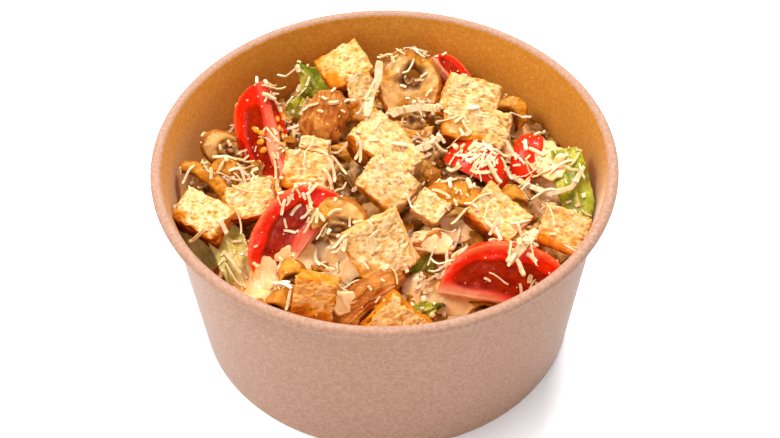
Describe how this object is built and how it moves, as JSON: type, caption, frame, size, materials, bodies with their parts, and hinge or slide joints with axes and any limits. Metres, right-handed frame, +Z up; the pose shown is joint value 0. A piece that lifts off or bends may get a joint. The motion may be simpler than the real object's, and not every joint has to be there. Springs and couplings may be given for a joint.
{
  "type": "chicken salad in a paper bowl",
  "caption": "Round kraft paper takeaway bowl filled with a chicken salad: croutons, tomato wedges, fried mushroom slices, browned chicken, lettuce, grated cheese and creamy dressing.",
  "frame": {"origin": "middle of the bowl's foot, on the surface that the bowl stands on", "axes": "+Z up; +X to the right and -Y towards the viewer as the picture shows the salad"},
  "size_m": [0.15, 0.15, 0.0805],
  "materials": {
    "paper": "matte",
    "dressing": "satin",
    "bread": "matte",
    "tomato": "gloss",
    "mushroom": "satin",
    "chicken": "satin",
    "lettuce": "satin",
    "cheese": "satin"
  },
  "bodies": {
    "root": {"bowl": "paper", "salad_heap": "dressing", "crouton_front_middle": "bread", "crouton_middle": "bread", "crouton_crusted": "bread", "crouton_right_front": "bread", "crouton_far_right": "bread", "crouton_front_left": "bread", "crouton_front_tip": "bread", "crouton_far_left": "bread", "crouton_left": "bread", "crouton_left_middle": "bread", "crouton_right_low": "bread", "crouton_right_high": "bread", "crouton_back_left": "bread", "crouton_back_middle": "bread", "crouton_crumb_right": "bread", "crouton_crumb_left": "bread", "tomato_wedge_front": "tomato", "tomato_wedge_left": "tomato", "tomato_wedge_back_left": "tomato", "tomato_wedge_right": "tomato", "tomato_wedge_far_right": "tomato", "tomato_wedge_back": "tomato", "mushroom_slice_back": "mushroom", "mushroom_slice_left": "mushroom", "mushroom_slice_right": "mushroom", "mushroom_slice_low": "mushroom", "mushroom_slice_far_left": "mushroom", "mushroom_stalk_left": "mushroom", "mushroom_dark_left": "mushroom", "mushroom_cap_right": "mushroom", "mushroom_piece_front": "mushroom", "mushroom_lump_front": "mushroom", "mushroom_flake_right": "mushroom", "chicken_strip_front": "chicken", "chicken_strip_middle": "chicken", "chicken_chunk_back": "chicken", "lettuce_leaf_back": "lettuce", "lettuce_bit_back": "lettuce", "lettuce_leaf_left": "lettuce", "lettuce_rib_left": "lettuce", "lettuce_leaf_right": "lettuce", "lettuce_leaf_front": "lettuce", "lettuce_bit_front": "lettuce", "cheese_shred_tall": "cheese", "cheese_shred_across": "cheese", "cheese_shred_front": "cheese", "cheese_shred_curved": "cheese", "cheese_shred_low": "cheese"}
  },
  "joints": []
}
